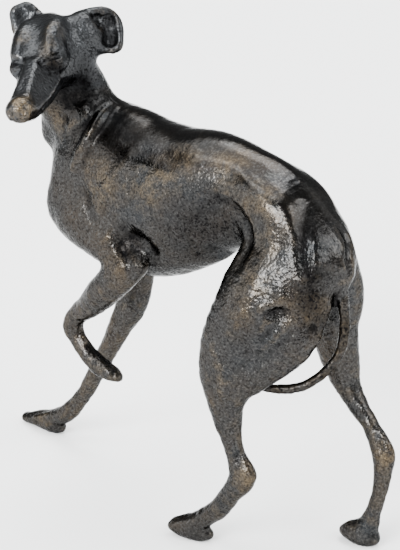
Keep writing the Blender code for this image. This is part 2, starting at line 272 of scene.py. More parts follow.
def head():
    yield Mass((0, 0, 0.3), (19, 13.5, 13), (0, 6, 0), 6, HEAD)
    yield Mass((-13, 0, 1), (8, 8, 8), (0, 0, 0), 5, HEAD)
    yield Run(
        [
            (2, 0, -3, 12, 11, -0.1),
            (18, 0, -5.5, 10, 9.4, -0.35),
            (30, 0, -7.2, 9, 8.3, -0.3),
            (42, 0, -8.2, 8.2, 7.1, -0.28),
            (51, 0, -8.2, 7.4, 6.2, -0.25),
            (56, 0, -7.6, 6, 5.2, -0.1),
        ],
        blend=4,
        frame=HEAD,
    )
    yield Run(
        [(0, 0, -13, 10, 6), (18, 0, -15.4, 7.4, 4.8), (36, 0, -15.2, 6, 3.8), (49, 0, -12.8, 4.8, 2.8)],
        blend=3,
        frame=HEAD,
    )
    yield Mass((56, 0, -6.8), (5, 6, 4.8), (0, 8, 0), 4, HEAD)
    for left in (-1, 1):
        yield Mass((3, left * 9, -8), (13, 5.5, 9), (0, 0, 0), 5, HEAD)
        yield Mass((15, left * 10.4, -2.6), (6, 4, 3.4), (0, 12, -left * 10), 3, HEAD)
        yield Mass((14, left * 8.2, 3), (6, 4.2, 3.2), (left * 8, 0, -left * 20), 4, HEAD)
        yield Mass((4, left * 6.5, 7), (11, 5.5, 5), (0, 6, 0), 6, HEAD)
        yield Run(
            [
                (18, left * 2.6, 2.4, 1.6, 1.6),
                (28, left * 2.1, 0.3, 1.5, 1.5),
                (50, left * 2.8, -4, 1.4, 1.4),
            ],
            blend=3.5,
            frame=HEAD,
        )


# Frames in the middle of each ear: x looks out of the ear, y runs to the far edge of the left ear
LEFT_EAR = frame_of((-55.3, 0.0, 234.0), (0.62, -0.70, 0.34), (0, 0, 1))
RIGHT_EAR = frame_of((-85.5, -20.0, 237.0), (0.62, -0.70, 0.34), (0, 0, 1))

# The thick rolled rim of the left ear, from its front fold over the top and down to the lobe, with its girth
RIM = (
    (2, -9, 5.6, 1.6),
    (2.6, -4.5, 8.6, 1.9),
    (2.6, 1.5, 9.4, 2),
    (2.6, 6.4, 7.2, 2),
    (2.6, 9.2, 2.2, 2),
    (2.6, 9.6, -3.6, 2.1),
    (3, 8.2, -8.6, 2.3),
    (3, 2.4, -9, 2.2),
)


def ears():
    yield Mass((-0.5, 0, 0), (6, 10.4, 10), (0, 0, 0), 4, LEFT_EAR)
    yield Run([(*point, point[3]) for point in RIM], blend=2.5, frame=LEFT_EAR)
    yield Mass((-59, -9, 231.5), (10, 8, 12.5), (0, 0, 0), 6)
    yield Mass((0, 0, 0), (3.4, 7.4, 10), (0, 0, 0), 4, RIGHT_EAR)
    yield Mass((0, -5, 4.4), (2.4, 2.6, 3), (0, 0, 0), 3, RIGHT_EAR)


def raised_foreleg():
    yield Run(
        [(-64, -15, 150, 8, 13), (-50, -20, 145, 9, 14), (-32, -23, 139, 8, 12), (-16, -24, 132, 6, 8)],
        blend=8,
    )
    yield Run(
        [
            (-9, -25, 132, 5, 6),
            (-20.5, -26, 123, 7, 8.6),
            (-35, -24, 110, 6.6, 8),
            (-45, -21, 101, 5.4, 6.4),
            (-56, -18, 92.6, 4.5, 5.1),
            (-61, -17, 85, 4.8, 5.3),
            (-56.5, -17, 77.5, 4.2, 4.5),
            (-48.7, -17, 71, 4.6, 4.4),
            (-42, -17, 67.6, 5.2, 4.6),
            (-34, -17, 66, 4.4, 3.5),
            (-30, -17, 65, 2.6, 2.2),
        ],
        blend=5,
    )


def standing_foreleg():
    yield Run(
        [
            (-62, 14, 148, 8, 13),
            (-53, 17, 128, 8.5, 11.5),
            (-48.5, 19, 112, 7.6, 8.4),
            (-51, 20, 98, 7, 8.2),
            (-55.5, 20, 86, 6.8, 8.2),
            (-62.6, 20, 74, 5.6, 6.6),
            (-71, 19, 58, 4.5, 5.2),
            (-80.6, 18, 40.7, 4.6, 4.6),
            (-87, 17, 29.5, 4, 4.2),
            (-97, 16.5, 17.5, 4.4, 4.8),
            (-109, 18.5, 9.6, 5.2, 4.8),
            (-125, 19.5, 4.2, 4.6, 3.6),
            (-136, 20.3, 1.8, 3, 2.2),
        ],
        blend=6,
    )
    yield Mass((-116, 20, 4), (12, 5.2, 4.8), (0, 0, -6), 3)


def left_hind_leg():
    yield Run(
        [
            (73, -10, 160, 9, 17),
            (70.5, -17, 146, 11, 22),
            (62.5, -25, 128, 11.5, 19.5),
            (52, -30, 110, 10, 13.8),
            (49, -32, 94, 8.6, 10.8),
            (52, -32, 81, 7.6, 9.3),
            (53, -31, 70, 6, 7.2),
            (55.5, -31, 61, 4.4, 5.4),
            (57.5, -30, 53, 4.2, 5.2),
            (60.5, -30, 43, 5, 6.6),
            (55, -30, 34, 4.4, 5.2),
            (46, -29, 22, 4.4, 5),
            (38, -28, 15.4, 5, 4.8),
            (31, -28, 9.6, 5.2, 5.2),
            (22, -29, 6, 5, 4.4),
            (17.5, -29.6, 4.4, 3.4, 2.8),
        ],
        blend=7,
    )
    yield Run(
        [
            (82, -8, 148, 8, 10),
            (85, -12, 130, 9, 11),
            (79, -18, 114, 9.5, 12),
            (66, -26, 101, 8.5, 12),
            (56, -31, 90, 7, 10),
        ],
        blend=6,
    )
    yield Run([(62, -30, 50, 1.8, 2), (66, -30, 46, 2.6, 2.8), (62, -30, 40, 2, 2)], blend=4)
    yield Mass((28, -27, 4.2), (11.5, 5.2, 5), (0, 0, 6), 3)


def right_hind_leg():
    yield Run(
        [
            (72, 9, 158, 8, 16),
            (74, 15, 143, 10, 16.5),
            (73.5, 21, 125, 10, 16.5),
            (72, 24, 107, 9, 13),
            (76, 26, 86, 7.4, 9.4),
            (81, 26, 75.6, 5.4, 6.2),
            (88, 26, 67, 4.2, 5),
            (95, 26, 59, 3.8, 4.2),
            (101.5, 26, 46, 4.4, 5.4),
            (102, 25, 35, 3.7, 4.2),
            (101, 24, 27, 3.5, 3.7),
            (99, 23, 18, 3.8, 4),
            (95.6, 22.5, 9, 5, 5.6),
            (88, 22, 5.6, 5.2, 4.6),
            (83.5, 22, 4.2, 3.6, 3),
        ],
        blend=7,
    )
    yield Run([(100, 26, 58, 1.4, 1.6), (105, 26, 50, 2.4, 2.6), (102, 26, 42, 2, 2)], blend=4)
    yield Mass((93, 22.5, 4.2), (10, 5.8, 5), (0, 0, 0), 3)


def tail():
    yield Run(
        [
            (86, 0, 150, 6, 6),
            (92, 0, 141, 4, 4),
            (96, -1, 131, 2.8, 2.8),
            (98, -2, 119, 2.5, 2.5),
            (97, -4, 108, 2.4, 2.4),
            (92, -8, 98.5, 2.3, 2.3),
            (84, -13, 91, 2.2, 2.2),
            (74, -18, 88, 2.2, 2.2),
            (66, -22, 88.5, 2.2, 2.2),
            (58, -26, 91, 2.2, 2.2),
        ],
        blend=2.5,
    )


def hollows():
    """The solid's hollows of elbow, flank and haunch; those of the head are cut anew below."""
    yield Mass((-10, -30, 143), (9, 5, 6), (0, 35, 0), 6)
    yield Mass((38, -27, 160), (9, 6, 14), (0, 15, 0), 10)
    yield Mass((38, 27, 160), (9, 6, 14), (0, 15, 0), 10)
    yield Mass((83, -32, 131), (5.5, 5, 3.4), (0, 20, 0), 5)
    yield Mass((98, -20, 123), (5, 7, 6), (0, 0, 0), 8)


def forms():
    makers = (
        torso,
        neck,
        head,
        ears,
        raised_foreleg,
        standing_foreleg,
        left_hind_leg,
        right_hind_leg,
        tail,
    )
    return [form for maker in makers for form in maker()]


def soft_least(a, b, blend):
    overlap = np.maximum(blend - np.abs(a - b), 0) / blend
    return np.minimum(a, b) - overlap**2 * blend / 4


def skin_field(p, added, carved):
    """Signed distance to the blended skin: below nought inside."""
    whole = np.full(len(p), 40.0)
    for form in added:
        near = ((p > form.low) & (p < form.high)).all(1)
        whole[near] = soft_least(whole[near], form.field(p[near]), form.blend)
    for form in carved:
        near = ((p > form.low) & (p < form.high)).all(1)
        whole[near] = -soft_least(-whole[near], form.field(p[near]), form.blend)
    return whole


def eyes():
    """Each eye's swelling and its two lids."""
    for left in (-1, 1):
        yield Mass((18.6, left * 8.4, -2), (3.8, 4.6, 3), (0, 0, -left * 14), 2.4, HEAD)
        yield Run(
            [
                (23.6, left * 4.4, -0.6, 0.7, 0.7),
                (22, left * 7.6, -0.2, 0.8, 0.8),
                (18.4, left * 11.6, -1, 0.7, 0.7),
            ],
            blend=1.8,
            side=(0, 0, 1),
            frame=HEAD,
        )
        yield Run(
            [
                (24, left * 5.4, -4.4, 0.7, 0.7),
                (21.6, left * 9.4, -5.4, 0.8, 0.7),
                (16.4, left * 12.6, -4, 0.7, 0.7),
            ],
            blend=2.2,
            side=(0, 0, 1),
            frame=HEAD,
        )


def lips():
    for left in (-1, 1):
        edge = [
            (22, left * 9.6, -8.8, 1, 0.8),
            (30, left * 8.9, -9.8, 1, 0.8),
            (40, left * 8.2, -10, 1, 0.8),
            (50, left * 6.6, -9, 0.9, 0.7),
        ]
        yield Run(edge, blend=2.5, side=(0, 0, 1), frame=HEAD)


def face_hollows():
    """The furrow of the forehead, then on each side the crease under the brow, the nostril and the mouth."""
    groove = [(20, 0, 6.4, 3, 1), (14, 0, 9.8, 3.4, 1.2), (6, 0, 13.2, 3.4, 1.2), (-4, 0, 15.2, 3, 1)]
    yield Run(groove, blend=5, frame=HEAD)
    for left in (-1, 1):
        yield Run(
            [
                (24.6, left * 3.8, 1, 0.9, 0.9),
                (22.2, left * 7.4, 2, 1.2, 1.1),
                (18.4, left * 11.4, 1.2, 1, 1),
            ],
            blend=1.8,
            side=(0, 0, 1),
            frame=HEAD,
        )
        yield Mass((61, left * 3, -6.4), (1.7, 1.3, 1.2), (0, 0, left * 20), 0.8, HEAD)
        yield Run(
            [
                (61, left * 1.2, -10.6, 0.5, 0.6),
                (56.5, left * 4.9, -11.4, 0.6, 0.7),
                (48, left * 6.9, -12.2, 0.7, 0.8),
                (38, left * 8, -12.6, 0.7, 0.8),
                (28, left * 8.9, -12.2, 0.7, 0.8),
                (20, left * 9.6, -10.8, 0.5, 0.6),
            ],
            blend=1,
            side=(0, 0, 1),
            frame=HEAD,
        )
    yield Run([(62, 0, -7, 0.4, 0.5), (61, 0, -10.8, 0.4, 0.5)], blend=0.8, frame=HEAD)


def ear_folds():
    for stations in (
        [
            (1.4, -6.4, -1.2, 1.2, 1.2),
            (2.8, -2.6, -1.8, 1.6, 1.4),
            (2.6, 1.6, -2.4, 1.4, 1.2),
            (2, 6, -1.4, 1, 1),
        ],
        [(1.6, -4.6, 8.4, 1, 1), (4, -1.2, 8, 1.5, 1.2), (4.4, 2.4, 6.6, 1.2, 1), (3.4, 4.6, 4, 0.8, 0.8)],
        [(-0.4, -9.4, 4, 1, 1), (1.6, -9.6, -1.6, 1.4, 1.4), (2, -8, -7, 1, 1)],
        [(0.6, -3.6, 6, 0.8, 0.8), (0.6, -1.6, 2.4, 1.1, 1.1), (0.4, 0.6, -1, 0.8, 0.8)],
        [(0.2, 3, 6.4, 0.8, 0.8), (0.2, 4, 2.6, 1, 1), (0.6, 3, -1, 0.8, 0.8)],
        [(0.4, 1.6, -3, 0.8, 0.8), (0.2, 3.6, -5.4, 1, 1), (0.8, 4, -8.4, 0.8, 0.8)],
    ):
        yield Run(stations, blend=2, frame=LEFT_EAR)
    right_edge = [(2.4, 5.6, 6.6, 0.9, 0.9), (2.8, 6.8, 1, 1, 1), (2.6, 5, -7, 0.9, 0.9)]
    yield Run(right_edge, blend=2, frame=RIGHT_EAR)


def ear_hollows():
    yield Mass((5.4, 4.4, 3.6), (3.2, 2.6, 4.6), (-8, 0, 0), 3, LEFT_EAR)
    yield Mass((5.2, -1.6, 3.8), (2.6, 2.2, 3.6), (-14, 0, 0), 3, LEFT_EAR)
    yield Mass((5.2, 5.2, -4.6), (3, 2.6, 4), (0, 0, 0), 3, LEFT_EAR)
    yield Mass((4.6, -1, -1), (2.4, 3.6, 5), (0, 0, 0), 4, RIGHT_EAR)


# Muscles, sinews and creases: how far each stands proud, or is cut in if below nought, its half-width,
# and the points that it runs through, which are brought onto the skin before use
RELIEF = (
    # the crease of the flank, the edge of the loin over it and the front edge of the haunch
    (
        *(-1.5, 2.8),
        *((29.8, -20.8, 173.9), (38.4, -18.7, 172.8), (48.7, -19.6, 169.4), (55.5, -20.4, 163.4)),
        *((57.5, -22.7, 156.3), (56.9, -26.9, 150), (56.5, -30, 144.9)),
    ),
    (
        *(0.9, 4),
        *((12.9, -19, 186), (38.6, -13.4, 188), (56.8, -17.2, 181.1), (67.4, -19.3, 172)),
        *((70.6, -21.7, 161.4), (69, -26.6, 151.8)),
    ),
    (0.8, 3.6, (69, -26.6, 151.8), (67.1, -32.6, 139.5), (64.7, -36.7, 126.5), (58, -39.5, 112)),
    # the hip bone, the groove behind it and the edge of the buttock
    (0.7, 4, (66, -15, 180), (78.6, -18.7, 164.8), (80.5, -23.4, 152)),
    (-1.1, 3.6, (75.4, -7.7, 178), (86.3, -17.3, 159.1), (91.9, -18.9, 141.7)),
    (-1.6, 2.2, (90, 2.5, 166), (94.4, 3.2, 160), (97.9, -0.6, 153), (99, -0.4, 145)),
    (0.8, 1.8, (90, 7.1, 163), (94.2, 7.1, 156.8), (96, 6.4, 148)),
    # the ridges and hollows at the back of the thigh
    (1.3, 2, (72, -34, 132), (74.2, -32.7, 132.6), (78.7, -28.9, 134.1), (83.1, -27.2, 137.1)),
    (-1.6, 2.4, (75, -32, 129.6), (78.6, -29.6, 129.6), (82.4, -26.4, 131)),
    (1.1, 1.8, (87.4, -22.8, 147), (90.6, -20.6, 145)),
    (-1.2, 2.2, (90.6, -20, 141.6), (93.4, -18, 139.8)),
    (1, 1.7, (88.4, -21.4, 128.6), (91, -19.6, 126.8)),
    (-1.2, 2.4, (90.6, -18, 123.6), (93.6, -15, 121.4)),
    (1.1, 2.4, (74, -31.6, 111), (76.2, -30.5, 114.4), (81.7, -27.3, 121.3), (88, -23, 128)),
    (-1.1, 2.4, (73, -33, 117), (78, -30.5, 123), (83, -27.6, 128)),
    # the front of the stifle and the long muscles of the gaskin
    (0.8, 3.2, (49.4, -39.8, 113), (56.2, -39.2, 99.4), (59.3, -38.6, 86)),
    (-0.8, 2.6, (50.4, -39.6, 98), (52.4, -38.8, 84), (56, -36.8, 72)),
    # the hollow before the heel string of the near hock, and the string
    (-1.3, 1.9, (59.4, -34.6, 64), (60, -33.5, 58.3), (60.5, -33.9, 52), (60.6, -34.7, 47)),
    (0.8, 1.5, (63.4, -31.6, 58), (65.8, -30.8, 51), (68.2, -31.2, 45.9)),
    # the far hock
    (0.7, 1.3, (98.8, 26.5, 61.3), (103.4, 24.5, 56.6), (106.1, 23.5, 51.5)),
    (-0.9, 1.6, (98.6, 22.3, 60), (101.4, 22, 54), (103.6, 21.9, 49)),
    # the shoulder blade, the upper arm and the folds of the elbow
    (0.8, 3.4, (-16, -19.6, 186), (-21.2, -25.5, 176.6), (-27.3, -27.5, 166.9), (-32.5, -27.7, 159.8)),
    (-0.9, 3.6, (-6, -22, 181), (-10, -26.5, 170), (-13, -28, 158)),
    (-1, 3.2, (-44, -27, 167), (-38, -28.6, 156), (-30, -30, 148)),
    (-1.1, 2.4, (-19.3, -28.3, 142.6), (-12.9, -29, 135.3), (-7, -28.4, 125)),
    (-1.1, 2.4, (-15.2, -24.8, 144.4), (-8, -25.4, 144), (-3.5, -23.6, 143), (-1, -17.9, 133)),
    (0.5, 2.2, (-13, -27, 139.6), (-8.2, -28.4, 134.1), (-4, -27, 129)),
    (0.7, 3, (-28.6, -30.4, 133.5), (-23.4, -28.7, 146.9), (-20, -27.6, 157)),
    (-0.9, 1.6, (18.6, -15.4, 141), (21.6, -14.4, 140.6)),
    # the tendons of the raised leg, its wrist and the cleft of its paw
    (-1.2, 1.7, (-52.2, -20.8, 90.1), (-50, -20.2, 91.1)),
    (0.7, 1.3, (-55.3, -17, 84), (-53.4, -17.2, 81), (-51.5, -17.5, 78.6)),
    (0.9, 1.7, (-43, -19.2, 72.4), (-37, -19.3, 70.2), (-32.6, -19.9, 68.2)),
    (
        *(-1.2, 1.2),
        *((-45.8, -15.6, 74.2), (-41.3, -15.4, 72.1), (-36, -17, 70.4)),
        *((-31.7, -18.6, 67.9), (-30.4, -19.4, 65.7)),
    ),
    # the standing foreleg's front edge and the sinews over its foot
    (0.7, 2, (-61.5, 15.3, 86.6), (-65.4, 14.7, 72), (-69.8, 14.6, 59.8)),
    (0.9, 1.9, (-124.4, 15.4, 6.6), (-118.4, 14.9, 8.6), (-112, 14.9, 11.3)),
    (-1, 1.3, (-123.4, 14.6, 4.6), (-120.6, 14.4, 5)),
    (0.8, 1.4, (-103.4, 12.9, 10.6), (-100, 12.6, 14), (-96, 12.3, 18.6)),
    (0.8, 1.8, (-114.6, 14.2, 4.4), (-107.6, 13.8, 7.8)),
    (-0.9, 1.6, (-99, 12.6, 11.6), (-94, 12.4, 17.6), (-89, 12.8, 25)),
)


def off_line(p, line):
    """How far each point is from a broken line, and how far along it, from 0 to 1, its nearest place is."""
    least, where = np.full(len(p), 1e9), np.zeros(len(p))
    for i, (start, end) in enumerate(zip(line, line[1:])):
        run = end - start
        t = np.clip((p - start) @ run / (run @ run), 0, 1)
        far = np.linalg.norm(p - start - t[:, None] * run, axis=1)
        nearer = far < least
        least[nearer] = far[nearer]
        where[nearer] = (i + t[nearer]) / (len(line) - 1)
    return least, where


def relief(mesh):
    """Raise the ridges and cut the grooves along the skin's normals; each fades at its ends and sides."""
    p, normal = places(mesh), normals(mesh)
    tree = KDTree(len(p))
    for i, q in enumerate(p):
        tree.insert(q, i)
    tree.balance()
    lift = np.zeros(len(p))
    for height, half_width, *points in RELIEF:
        line = np.array([tree.find(q)[0] for q in smooth_line(points, 3)])
        reach = 1.5 * half_width
        near = ((p > line.min(0) - reach) & (p < line.max(0) + reach)).all(1)
        far, where = off_line(p[near], line)
        side = np.clip(1 - (far / reach) ** 2, 0, 1) ** 2
        lift[near] += height * side * (0.1 + 0.9 * np.sqrt(np.clip(np.sin(where * math.pi), 0, 1)))
    put(mesh, p + normal * lift[:, None])


BOX_SPARE = 3  # what is left of a form's reach beyond its blend


def close_boxes(shapes):
    """A form is felt only where its blend reaches, so its box is drawn in: the skin here is already near."""
    for form in shapes:
        spare = MARGIN - form.blend - BOX_SPARE
        form.low = form.low + spare
        form.high = form.high - spare
    return shapes


# Each paw: where the grooves between its toes start, their length, which way they point and how low they end
PAWS = (
    ((-120, 19.4, 7.8), 10, math.radians(177), 3.4),
    ((27, -28.4, 12), 9.5, math.radians(184), 6),
    ((92, 22.2, 10.6), 8.5, math.radians(180), 5),
)


TOE_GROOVES = (-2.6, 0, 2.6)  # how far aside of the paw's middle each one lies


def toes():
    for middle, length, heading, tip in PAWS:
        for across in TOE_GROOVES:
            forward = np.array([math.cos(heading), math.sin(heading), 0])
            aside = np.array([-forward[1], forward[0], 0])
            start = np.array(middle) + aside * across
            end = start + forward * length
            middle_down = (start + end) / 2 + (0, 0, -0.8)
            yield Run([(*start, 0.5, 0.7), (*middle_down, 0.6, 0.8), (*end[:2], tip, 0.5, 0.7)], blend=0.9)


def places(mesh):
    flat = np.empty(len(mesh.vertices) * 3)
    mesh.vertices.foreach_get("co", flat)
    return flat.reshape(-1, 3)


def put(mesh, p):
    mesh.vertices.foreach_set("co", p.ravel())
    mesh.update()


def normals(mesh):
    flat = np.empty(len(mesh.vertices) * 3)
    mesh.vertices.foreach_get("normal", flat)
    return flat.reshape(-1, 3)


def neighbour_mean(mesh, p):
    ends = np.empty(len(mesh.edges) * 2, int)
    mesh.edges.foreach_get("vertices", ends)
    a, b = ends[::2], ends[1::2]
    count = np.bincount(ends, minlength=len(p))[:, None]
    total = np.zeros_like(p)
    for axis in range(3):
        total[:, axis] += np.bincount(a, p[b, axis], len(p))
        total[:, axis] += np.bincount(b, p[a, axis], len(p))
    return total / np.maximum(count, 1)


def slope_at(p, added, carved, d):
    slope = np.empty_like(p)
    for axis in range(3):
        shifted = p.copy()
        shifted[:, axis] += STEP
        slope[:, axis] = (skin_field(shifted, added, carved) - d) / STEP
    return slope


LONGEST_MOVE = 1.5  # how far a point may go in one pass
LEAST_SLOPE_SQUARED = 0.16  # keeps the step short where the field is nearly flat


def settle(mesh, added, carved, passes, part=None):
    """Move the skin, or a part of it, onto the blended field, spreading its points as it goes."""
    p = places(mesh)
    part = np.ones(len(p), bool) if part is None else part
    for step in range(passes):
        q = p[part]
        d = skin_field(q, added, carved)
        slope = slope_at(q, added, carved, d)
        steep = np.maximum((slope**2).sum(1), LEAST_SLOPE_SQUARED)[:, None]
        q = q - np.clip(d, -LONGEST_MOVE, LONGEST_MOVE)[:, None] * slope / steep
        p[part] = q
        if step < passes - 1:
            normal = slope / np.sqrt(steep)
            pull = 0.5 * (neighbour_mean(mesh, p)[part] - q)
            p[part] = q + pull - normal * (pull * normal).sum(1)[:, None]
    put(mesh, p)


def remeshed(piece, voxel):
    modifier = piece.modifiers.new("step", "REMESH")
    modifier.mode = "VOXEL"
    modifier.voxel_size = voxel
    graph = bpy.context.evaluated_depsgraph_get()
    piece.data = bpy.data.meshes.new_from_object(piece.evaluated_get(graph))
    piece.modifiers.clear()


def refine(mesh, wanted):
    """Halve the edges of the faces whose every corner is wanted."""
    skin = bmesh.new()
    skin.from_mesh(mesh)
    skin.verts.ensure_lookup_table()
    chosen = {skin.verts[i] for i in np.flatnonzero(wanted)}
    edges = [e for e in skin.edges if e.verts[0] in chosen and e.verts[1] in chosen]
    bmesh.ops.subdivide_edges(skin, edges=edges, cuts=1, use_grid_fill=True)
    skin.to_mesh(mesh)
    skin.free()


FACE_MIDDLE, FACE_REACH = 20, 50  # along the head's own x
THROAT_HEIGHT, PAW_HEIGHT = 200, 13


def detailed(p):
    """The points of the head and the feet, which get the finest skin."""
    local = (p - np.array(HEAD.translation)) @ np.array(HEAD.to_3x3())
    head_part = (np.abs(local[:, 0] - FACE_MIDDLE) < FACE_REACH) & (p[:, 2] > THROAT_HEIGHT)
    return head_part | (p[:, 2] < PAW_HEIGHT)


def sculpt():
    """A copy of the solid, remeshed finely and settled on the field of all forms, with the relief added."""
    source = frame["nodes"]["whippet"]
    piece = bpy.data.objects.new("whippet_skin", source.data.copy())
    bpy.context.scene.collection.objects.link(piece)
    put(piece.data, places(piece.data) / UNIT + np.array(CENTRE))
    remeshed(piece, FINE_VOXEL)
    mesh = piece.data
    added, carved = close_boxes(forms()), close_boxes(list(hollows()))
    added += close_boxes(list(eyes()) + list(lips()) + list(ear_folds()))
    carved += close_boxes(list(face_hollows()) + list(ear_hollows()) + list(toes()))
    settle(mesh, added, carved, 3)
    refine(mesh, detailed(places(mesh)))
    settle(mesh, added, carved, 3, detailed(places(mesh)))
    relief(mesh)
    return piece


def smooth_step(values, low, high):
    t = np.clip((values - low) / (high - low), 0, 1)
    return t * t * (3 - 2 * t)


# Where one zone of the skin turns into the next: two places on the grid, along the axis that is named
HEAD_Z, HEAD_BEFORE_X = (198, 212), (18, 34)  # the second is measured along -X
BACK_Z, BACK_BEHIND_X = (130, 165), (-56, -44)
CALM_BACK_Z, NECK_TOP_Z, SKULL_Z = (140, 170), (203, 212), (205, 215)
BELLY_Z, BELLY_BEHIND_X = (120, 135), -15
LEGS_BELOW_Z = (-120, -95)  # measured along -Z
CROUP_X, CROUP_Z = (78, 92), (120, 140)

WAVES = ((9, 0.24), (3.6, 0.28))  # the casting's waviness: its length and its height
SOLE_HEIGHT = 0.25


def unevenness(mesh):
    """The waviness and lumps of a sand casting, a few tenths of a millimetre, along the skin's normal."""
    p = places(mesh)
    normal = normals(mesh)
    lift = np.array([sum(noise.noise(Vector(q) / length) * height for length, height in WAVES) for q in p])
    on_back = smooth_step(p[:, 2], *CALM_BACK_Z) * (1 - smooth_step(p[:, 2], *NECK_TOP_Z))
    calm = 1 - 0.8 * smooth_step(normal[:, 2], 0.1, 0.6) * on_back * smooth_step(p[:, 0], *BACK_BEHIND_X)
    calm *= 1 - 0.5 * smooth_step(p[:, 2], *SKULL_Z)
    put(mesh, p + normal * (lift * calm)[:, None])


def flatten_soles(mesh):
    p = places(mesh)
    p[:, 2] = np.where(p[:, 2] < SOLE_HEIGHT, 0, p[:, 2])
    put(mesh, p)


def hump(mesh, p, rounds):
    """How far each point stands proud of its neighbourhood: above nought on ridges and below in hollows."""
    flat = p
    for _ in range(rounds):
        flat = neighbour_mean(mesh, flat)
    return ((p - flat) * normals(mesh)).sum(1)


def patches(p, spots):
    total = np.zeros(len(p))
    for centre, radius, weight in spots:
        total += weight * np.exp(-((p - np.array(centre)) ** 2).sum(1) / radius**2)
    return total


# Places where the patina is worn to copper: middle, radius, strength
RUBBED = (
    ((-36, -73, 214), 9, 0.6),
    ((-53, -38, 232), 5, 0.3),
    ((-70, -40, 236), 5, 0.24),
    ((-57, -31, 240), 7, 0.21),
    ((-66, -20, 192), 9, 0.3),
    ((-30, -27, 168), 12, 0.34),
    ((0, -25, 174), 11, 0.34),
    ((13, -19, 186), 10, 0.3),
    ((39, -14, 188), 10, 0.3),
    ((60, -18, 178), 9, 0.32),
    ((70, -22, 160), 8, 0.24),
    ((67, -31, 143), 9, 0.24),
    ((64, -37, 126), 7, 0.18),
    ((56, -38, 92), 9, 0.18),
    ((90, -20, 132), 10, 0.24),
    ((66, -32, 46), 7, 0.26),
    ((105, 23, 50), 6, 0.42),
    ((90, 20, 10), 8, 0.18),
    ((-116, 15, 9), 7, 0.3),
    ((-20, -28, 132), 8, 0.27),
    ((-55, -18, 82), 6, 0.21),
    ((97, -4, 110), 14, 0.1),
)

# Places where the casting is rougher than elsewhere or, below nought, smoother
ROUGH = (
    ((79, -20, 162), 12, 0.5),
    ((86, -12, 170), 12, -0.5),
    ((56, -39, 100), 15, 0.4),
    ((-12, -27, 136), 12, 0.2),
    ((62, -34, 46), 12, 0.5),
    ((93, -6, 156), 12, -0.3),
    ((-26, -27, 168), 14, 0.4),
    ((105, 23, 52), 9, 0.7),
    ((-36, -19, 70), 9, 0.6),
    ((-42, -48, 216), 15, 0.5),
    ((-53, -14, 234), 11, 0.6),
    ((-36, -72, 213), 8, 0.5),
    ((-116, 15, 9), 14, 0.4),
    ((85, -24, 128), 14, 0.5),
)

# Places painted dull and black: partly the dark patina, partly painted shade and painted dark reflection,
# such as the shaded side of the throat, the inside of the ear, the elbow's hollow and the croup's dark band;
# the nose, below nought, is kept clean
PATINA_AND_SHADE_SPOTS = (
    ((-53, 2, 237), 8, 0.6),
    ((-50, 5, 228), 7, 0.55),
    ((-50, -38, 225), 6.5, 0.85),
    ((-38, -70, 215), 11, -0.6),
    ((-20, -16, 190), 13, 0.6),
    ((-56, -19, 216), 9, 0.8),
    ((-52, -16, 205), 9, 0.7),
    ((-58, -22, 205), 8, 0.5),
    ((-66, -24, 200), 9, 0.3),
    ((-32, -14, 194), 12, 0.6),
    ((-13, -28, 139), 8, 0.75),
    ((30, -24, 163), 14, 0.4),
    ((20, -20, 148), 16, 0.35),
    ((44, -24, 158), 12, 0.35),
    ((85, -13, 166), 9, 0.75),
    ((91, -18, 147), 8, 0.6),
    ((93, -16, 126), 8, 0.4),
    ((66, -34, 118), 12, 0.15),
    ((90, -20, 136), 7, 0.6),
    ((98, -2, 119), 11, 0.5),
    ((92, -9, 98), 10, 0.45),
    ((74, -18, 88), 12, 0.45),
    ((60, -25, 90), 6, 0.3),
)


def paint(mesh):
    """Layers for the material, worked out from the skin's own shape and the tables of places above.

    In "wear", r is rub-through to copper, g is lacquer gloss, b is casting grain and a is brushing.
    """
    p = places(mesh)
    up = normals(mesh)[:, 2]
    rub = 0.5 * np.clip(hump(mesh, p, 6) - 0.08, 0, 0.3) + patches(p, RUBBED)
    head = smooth_step(p[:, 2], *HEAD_Z) * smooth_step(-p[:, 0], *HEAD_BEFORE_X)
    back = smooth_step(up, 0.15, 0.7) * smooth_step(p[:, 2], *BACK_Z) * smooth_step(p[:, 0], *BACK_BEHIND_X)
    back = back * (1 - head)
    under = smooth_step(-up, -0.25, 0.3) * smooth_step(p[:, 2], *BELLY_Z) * (p[:, 0] > BELLY_BEHIND_X)
    dull = head + 0.6 * smooth_step(-p[:, 2], *LEGS_BELOW_Z)
    gloss = np.clip(0.25 + 0.75 * back - 1.3 * dull, -1, 1)
    grain = 0.6 - 0.5 * back - 0.42 * under - 0.15 * smooth_step(p[:, 2], *SKULL_Z) + patches(p, ROUGH)
    brushed = smooth_step(p[:, 0], *CROUP_X) * smooth_step(p[:, 2], *CROUP_Z)
    # Darker in the skin's hollows and at the listed places: partly dark patina, partly painted shade and
    # painted dark reflection
    patina_and_shade = np.clip(1.1 * np.clip(-hump(mesh, p, 8) - 0.06, 0, 0.6) + patches(p, PATINA_AND_SHADE_SPOTS), 0, 0.9)
    mesh.attributes.new("patina_and_shade", "FLOAT", "POINT").data.foreach_set("value", patina_and_shade)
    layer = mesh.color_attributes.new("wear", "FLOAT_COLOR", "POINT")
    rows = np.stack([np.clip(rub, 0, 1), gloss, np.clip(grain, 0.06, 1.3), brushed], 1)
    layer.data.foreach_set("color", rows.ravel())


